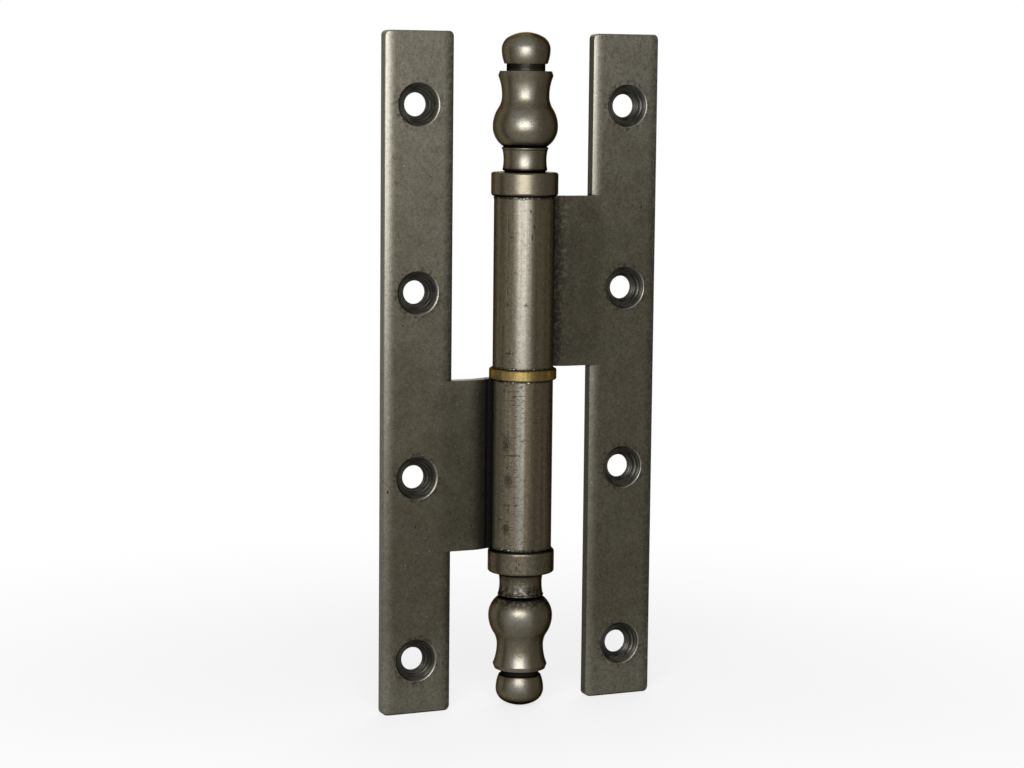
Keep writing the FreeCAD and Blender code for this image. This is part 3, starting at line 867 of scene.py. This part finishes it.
def finial_metal(name, finial):
    """Turned steel: painted light and shade on its two sides, painted bare where the key light's highlights
    fall on the swells, brown beside the beads, black in the grooves with dirt and painted shade.
    """
    metal = Metal(name, shift=(finial.seed, -finial.seed, finial.seed), grain_scale=1.1)
    steel, place, own, grain = metal.steel, metal.place, metal.own, metal.grain
    ramp, mix, times = metal.ramp, metal.mix, metal.times
    turned = metal.group("Marks run round", Unrolled=place["Unrolled"], Pitch=0.16, Waver=0.02)
    dirtiness = finial.dirtiness
    pits = metal.group("Pits", Vector=own, Scale=0.8, Size=0.16, Share=0.1 * dirtiness)["Mask"]
    sheltered = metal.group("Groove grime", Vector=own, Reach=2.4, Amount=1.3 * dirtiness)["Mask"]
    film = metal.group("Groove grime", Vector=own, Reach=3.4, Amount=2.2 * dirtiness)["Mask"]
    height = metal.math("ABSOLUTE", place["Z"])
    grooves = [
        ramp(metal.away(height, level), half + 0.35, half - 0.1, 0.0, 0.93) for level, half in GROOVES
    ]
    on_bulb = times(ramp(height, *SOOT_START), ramp(height, *SOOT_END, 0.3, 1.0))
    soot = times(on_bulb, ramp(grain["Grain"], 0.36, 0.58), finial.soot)
    marks = times(metal.mark_mask(finial.marks), 0.8)
    # Speckled darkening along the crease where the bulb meets the cone.
    near_shoulder = ramp(metal.away(height, SHOULDER), 1.5, 0.3)
    shoulder_specks = times(near_shoulder, ramp(grain["Tooth"], 0.5, 0.64), 0.6)

    # Painted highlight: bare steel where the key light's highlights fall on the swells, partly rubbed wear.
    levels = finial.highlight_heights
    swells = [ramp(metal.away(height, level), 3.6, 0.6, 0.18, 0.8) for level in levels]
    rubbed = times(metal.side_mask(HIGHLIGHT_LINE, 30), metal.most(*swells))
    # Painted light and shade: the finial's lit side is lighter, its far side darker.
    tone = mix(metal.side_mask(LIT_SIDE - 10, 82), steel.shaded, steel.lit_side_steel)
    tone = mix(rubbed, tone, steel.bare)
    tone = metal.mottle(tone, 0.6)
    tone = mix(times(film, 0.7), tone, steel.brown)
    tone = mix(ramp(turned["Strokes"], 0.56, 0.7, 0.0, 0.3), tone, steel.grime)
    tone = mix(times(grain["Specks"], 0.3), tone, steel.worn_edge)
    # Dirt, with painted shade in the grooves.
    dirt = metal.most(sheltered, *grooves, soot, marks, shoulder_specks, times(pits, 0.85))
    rough = metal.blend(dirt, ramp(grain["Tooth"], 0.3, 0.7, 0.31, 0.37), 0.42)
    heights = (
        (grain["Clouds"], 0.06),
        (turned["Rings"], 0.01),
        (grain["Grain"], 0.014),
        (grain["Tooth"], 0.008),
        (metal.invert(pits), 0.04),
    )
    metal.lay_finish(mix(dirt, tone, steel.grime), rough, heights)
    return metal


def brass_metal():
    """Brass with upright bands of tarnish, painted lighter on its lit side, and dirt at its two edges."""
    brass = bpy.context.scene.hinge_brass
    metal = Metal("washer brass", BRASS_RIM, grain_scale=1.3)
    place, grain = metal.place, metal.grain
    ramp, mix, times = metal.ramp, metal.mix, metal.times
    upright = metal.vector("MULTIPLY", place["Unrolled"], (1.0, 1.0, 0.12))
    bands = metal.noise(upright, 0.5)
    turned = metal.group("Marks run round", Unrolled=place["Unrolled"], Pitch=0.18, Waver=0.03)
    grime = metal.group("Groove grime", Vector=metal.own, Reach=1.0, Amount=1.0)["Mask"]
    edge = millimetres(WASHER_TOP)
    lip = ramp(metal.math("ABSOLUTE", place["Z"]), edge - 0.5, edge - 0.15)
    # Painted light: the lit side takes the clean brass, besides the clean bands.
    clean = metal.most(metal.side_mask(LIT_SIDE, 60), ramp(bands, 0.4, 0.7, 0.12, 0.4))
    tone = mix(times(clean, ramp(bands, 0.3, 0.55, 0.45, 1.0)), brass.tarnished, brass.clean)
    tone = metal.brighten(tone, ramp(grain["Grain"], 0.3, 0.7, 0.85, 1.15))
    tone = mix(times(lip, 0.6), tone, brass.tarnished)
    rough = metal.blend(grime, ramp(bands, 0.36, 0.62, 0.46, 0.34), 0.7)
    heights = ((bands, 0.06), (turned["Rings"], 0.01), (grain["Grain"], 0.008))
    metal.lay_finish(mix(grime, tone, metal.steel.grime), rough, heights)
    return metal


GROUND_STEEL = (0.42, 0.41, 0.39)
POLISHED_STEEL = (0.56, 0.55, 0.53)
SCORED_STEEL = (0.2, 0.19, 0.18)
OIL_HEIGHTS = (9.0, 3.0)  # old oil on the pin fades in downwards over these, in millimetres
OIL_WAVER = 9.0  # how far the clouds lower them


def pin_metal():
    """Ground steel, polished by the knuckle that turns on it, with old oil at its foot."""
    metal = Metal("pin steel", PIN_RIM)
    place, grain = metal.place, metal.grain
    ramp, mix, times = metal.ramp, metal.mix, metal.times
    ground = metal.group("Marks run round", Unrolled=place["Unrolled"], Pitch=0.1, Waver=0.04)
    scored = metal.group(
        "Scratches", Vector=place["Unrolled"], Stretch=(0.05, 1.0, 1.4), Width=0.05, Share=0.55
    )["Mask"]
    oil = ramp(metal.math("ADD", place["Z"], times(grain["Clouds"], OIL_WAVER)), *OIL_HEIGHTS)
    tone = mix(ramp(grain["Clouds"], 0.35, 0.65), GROUND_STEEL, POLISHED_STEEL)
    tone = mix(times(scored, 0.4), tone, SCORED_STEEL)
    tone = mix(times(oil, 0.75), tone, metal.steel.brown)
    rough = ramp(grain["Grain"], 0.3, 0.7, 0.18, 0.3)
    metal.lay_finish(tone, rough, ((ground["Rings"], 0.008), (grain["Tooth"], 0.005)))
    return metal


class HINGE_OT_finish_finials(bpy.types.Operator):
    """Gives the two turned finials their dark steel, with painted light, shade and highlights"""

    bl_idname = "hinge.finish_finials"
    bl_label = "Finish finials"

    def execute(self, context):
        upper = Finial(
            dirtiness=0.8,
            soot=0.0,
            highlight_heights=(59.4, 70.6, 78.8, 90.4),
            marks=(),
            seed=3.0,
        )
        lower = Finial(
            dirtiness=1.3,
            soot=0.85,
            highlight_heights=(62.0, 68.6, 81.8, 88.0),
            marks=LOWER_NECK_MARKS,
            seed=17.0,
        )
        finish_node("upper_finial", finial_metal("upper finial steel", upper))
        finish_node("lower_finial", finial_metal("lower finial steel", lower))
        return {"FINISHED"}


class HINGE_OT_finish_washer(bpy.types.Operator):
    """Gives the washer its tarnished brass, painted lighter on its lit side"""

    bl_idname = "hinge.finish_washer"
    bl_label = "Finish washer"

    def execute(self, context):
        finish_node("brass_washer", brass_metal())
        return {"FINISHED"}


class HINGE_OT_finish_pin(bpy.types.Operator):
    """Gives the pin its ground steel"""

    bl_idname = "hinge.finish_pin"
    bl_label = "Finish pin"

    def execute(self, context):
        finish_node("hinge_pin", pin_metal())
        return {"FINISHED"}


# ----------------------------------------------------------------------- burrs

BURR_START = math.radians(-14)  # from here the burr follows the rolled sheet round the front
BURR_TURN = math.radians(-218)
BURR_STEPS = 480
BURR_ROWS = 7
BURR_HEIGHT = 0.18 * MILLIMETRE
BURR_WIDTH = 0.62 * MILLIMETRE
BURR_SUNK = 0.05 * MILLIMETRE  # how far its edges lie under the rolled sheet's surface
BURR_INSET = 0.03 * MILLIMETRE  # from the knuckle's end
BURR_TAPER = 0.05  # share of its length over which it dies away at each end
LUMPS, NICKS, RIPPLES = 6.0, 17.0, 60.0  # scales of the noise that shapes it


def burr_metal():
    """Burrs black at their feet and worn bright on top, the bright tops painted only where the key light's
    highlight falls, as a painted highlight.
    """
    metal = Metal("knuckle burrs", BURR_RIM, grain_scale=1.8)
    steel, grain = metal.steel, metal.grain
    worn = metal.ramp(metal.place["Radius"], metal.radius + 0.03, metal.radius + 0.11)
    # Painted highlight: the burrs are bright only on the side where the key light's highlight falls.
    highlight_side = metal.side_mask(HIGHLIGHT_LINE, 48)
    rubbed = metal.times(metal.ramp(grain["Grain"], 0.36, 0.6), highlight_side, 0.8)
    bright = metal.mix(rubbed, steel.shaded, steel.worn_edge)
    rough = metal.ramp(grain["Grain"], 0.3, 0.7, 0.46, 0.3)
    tone = metal.mix(worn, steel.grime, bright)
    metal.lay_finish(tone, rough, ((grain["Tooth"], 0.02),))
    return metal


def add_object(name, data):
    made = bpy.data.objects.new(name, data)
    bpy.context.scene.collection.objects.link(made)
    return made


def add_mesh_object(name, mesh, material):
    """Turns the bmesh into an object of one material."""
    data = bpy.data.meshes.new(name)
    mesh.to_mesh(data)
    mesh.free()
    data.materials.append(material)
    return add_object(name, data)


def burr_ring(name, body, end, inward, mirrored, material, seed):
    """Short burrs along a knuckle's end. Between them the strip dips under the rolled sheet's surface."""
    floor = bpy.context.scene.hinge_sizes.knuckle_radius - BURR_SUNK
    mesh = bmesh.new()
    rows = []
    for step in range(BURR_STEPS + 1):
        along = step / BURR_STEPS
        angle = BURR_START + BURR_TURN * along
        if mirrored:
            angle = math.pi - angle
        ray = Vector((math.cos(angle), math.sin(angle), 0))
        lump = noise.noise(ray * LUMPS + Vector((0, 0, seed)))
        nick = noise.noise(ray * NICKS + Vector((0, 0, seed + 4)))
        ends = min(1.0, along / BURR_TAPER, (1 - along) / BURR_TAPER)
        rise = min(1.0, max(0.0, 0.12 + 1.9 * lump + 1.1 * nick)) * ends
        width = BURR_WIDTH * (0.7 + 0.7 * max(0.0, nick + lump))
        row = []
        for column in range(BURR_ROWS):
            share = column / (BURR_ROWS - 1)
            arch = math.sin(math.pi * share) ** 0.8 if 0 < share < 1 else 0.0
            ripple = 1 + 0.4 * noise.noise(ray * RIPPLES + Vector((0, 0, seed + 3 * share)))
            reach = floor + BURR_HEIGHT * rise * arch * ripple
            level = end + inward * (BURR_INSET + width * share)
            row.append(mesh.verts.new((*(ray.xy * reach), level)))
        rows.append(row)
    for first, second in zip(rows, rows[1:]):
        for column in range(BURR_ROWS - 1):
            corners = (first[column], first[column + 1], second[column + 1], second[column])
            mesh.faces.new(corners)
    bmesh.ops.recalc_face_normals(mesh, faces=mesh.faces)
    piece = add_mesh_object(name, mesh, material)
    piece.data.shade_smooth()
    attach(piece, body)


class HINGE_OT_raise_burrs(bpy.types.Operator):
    """Raises the small burrs along both ends of each knuckle"""

    bl_idname = "hinge.raise_burrs"
    bl_label = "Raise knuckle burrs"

    def execute(self, context):
        sizes = context.scene.hinge_sizes
        start, end = sizes.knuckle_start, sizes.knuckle_end
        material = burr_metal().material
        burr_ring("upper_knuckle_top_burr", "upper_leaf", end, -1, False, material, 1.0)
        burr_ring("upper_knuckle_foot_burr", "upper_leaf", start, 1, False, material, 9.0)
        burr_ring("lower_knuckle_top_burr", "lower_leaf", -start, -1, True, material, 21.0)
        burr_ring("lower_knuckle_foot_burr", "lower_leaf", -end, 1, True, material, 33.0)
        return {"FINISHED"}


# ----------------------------------------------------------------------- stage

FLOOR_RADIUS = 4.0
FLOOR_SIDES = 96
SHADOW_RADIUS = 0.03  # within this the floor's shadow is at its deepest
CLEAR_RADIUS = 0.3  # beyond this there is none
SENSOR_WIDTH = 36.0  # millimetres


def softbox(name, power, azimuth, elevation, distance, size):
    """A lamp aimed at the hinge that the camera doesn't see. Azimuth 0 stands at -Y and 90 at +X."""
    turn, lift = math.radians(azimuth), math.radians(elevation)
    towards = Vector((math.sin(turn) * math.cos(lift), -math.cos(turn) * math.cos(lift), math.sin(lift)))
    data = bpy.data.lights.new(name, "AREA")
    data.shape = "RECTANGLE"
    data.size, data.size_y = size
    data.energy = power
    lamp = add_object(name, data)
    lamp.location = towards * distance
    lamp.rotation_euler = (-towards).to_track_quat("-Z", "Y").to_euler()
    lamp.visible_camera = False


def seen_directly(shading):
    """1 for what the camera sees straight, in metal or through glass."""
    path = shading.node("ShaderNodeLightPath").outputs
    return shading.most(path["Is Camera Ray"], path["Is Glossy Ray"], path["Is Transmission Ray"])


def make_world(ambient):
    """White to the camera and in reflections, dimmer on matt surfaces."""
    world = bpy.data.worlds.new("studio")
    bpy.context.scene.world = world
    shading = Shading(emptied_tree(world))
    sky = shading.node("ShaderNodeBackground", {"Color": (1.0, 1.0, 1.0, 1.0)})
    shading.feed(sky.inputs["Strength"], shading.blend(seen_directly(shading), ambient, 1.0))
    shading.node("ShaderNodeOutputWorld", {"Surface": sky.outputs[0]})


def make_floor(colour):
    """A pale disc under the hinge. It keeps a soft shadow there and fades into the white of the room."""
    mesh = bmesh.new()
    bmesh.ops.create_circle(mesh, cap_ends=True, segments=FLOOR_SIDES, radius=FLOOR_RADIUS)
    material = bpy.data.materials.new("pale floor")
    floor = add_mesh_object("floor", mesh, material)
    floor.location.z = CAD_LOW.z
    shading = Shading(emptied_tree(material))
    matt = shading.node("ShaderNodeBsdfDiffuse", {"Color": (*colour, 1.0)})
    glow = shading.node("ShaderNodeEmission", {"Color": (1.0, 1.0, 1.0, 1.0)})
    away = shading.length(shading.node("ShaderNodeTexCoord").outputs["Object"])
    fade = shading.ramp(away, SHADOW_RADIUS, CLEAR_RADIUS, 0.75, 1.0)
    share = shading.times(fade, seen_directly(shading))
    both = shading.node("ShaderNodeMixShader", {0: share, 1: matt.outputs[0], 2: glow.outputs[0]})
    shading.node("ShaderNodeOutputMaterial", {"Surface": both.outputs[0]})


def make_camera(studio):
    data = bpy.data.cameras.new("camera")
    data.sensor_width = SENSOR_WIDTH
    data.lens = studio.focal_pixels * SENSOR_WIDTH / PICTURE_WIDTH
    camera = add_object("camera", data)
    turn = (
        Matrix.Rotation(-studio.camera_yaw, 4, "Z")
        @ Matrix.Rotation(math.pi / 2 - studio.camera_pitch, 4, "X")
        @ Matrix.Rotation(studio.camera_roll, 4, "Z")
    )
    camera.matrix_world = Matrix.Translation(studio.camera_place) @ turn
    bpy.context.scene.camera = camera


class HINGE_OT_set_stage(bpy.types.Operator):
    """Sets up the camera, the pale floor, the softboxes and the white room"""

    bl_idname = "hinge.set_stage"
    bl_label = "Set stage"

    def execute(self, context):
        studio = context.scene.hinge_studio
        make_camera(studio)
        make_world(studio.ambient)
        make_floor(studio.floor_colour)
        softbox("key softbox", studio.key_power, azimuth=-27, elevation=13, distance=0.4, size=(0.29, 0.17))
        softbox("back softbox", studio.back_power, azimuth=145, elevation=32, distance=1.0, size=(0.8, 0.8))
        context.scene.view_settings.view_transform = "Standard"
        return {"FINISHED"}


# ------------------------------------------------------------- panel and start

STEPS = (
    HINGE_OT_finish_leaves,
    HINGE_OT_finish_finials,
    HINGE_OT_finish_washer,
    HINGE_OT_finish_pin,
    HINGE_OT_raise_burrs,
    HINGE_OT_set_stage,
)


class HINGE_PT_finishes(bpy.types.Panel):
    """Lists the steps that finish the hinge"""

    bl_idname = "HINGE_PT_finishes"
    bl_label = "Hinge finishes"
    bl_space_type = "VIEW_3D"
    bl_region_type = "UI"
    bl_category = "Hinge"

    def draw(self, context):
        for step in STEPS:
            self.layout.operator(step.bl_idname)


GROUPS = {
    "hinge_sizes": HingeSizes,
    "hinge_steel": HingeSteel,
    "hinge_brass": HingeBrass,
    "hinge_studio": HingeStudio,
}
CLASSES = (*GROUPS.values(), *STEPS, HINGE_PT_finishes)


def register():
    for item in CLASSES:
        bpy.utils.register_class(item)
    for name, group in GROUPS.items():
        setattr(bpy.types.Scene, name, PointerProperty(type=group))


def unregister():
    for name in GROUPS:
        delattr(bpy.types.Scene, name)
    for item in reversed(CLASSES):
        bpy.utils.unregister_class(item)


def main():
    register()
    bpy.ops.hinge.finish_leaves()
    bpy.ops.hinge.finish_finials()
    bpy.ops.hinge.finish_washer()
    bpy.ops.hinge.finish_pin()
    bpy.ops.hinge.raise_burrs()
    bpy.ops.hinge.set_stage()


if __name__ == "__main__":
    main()
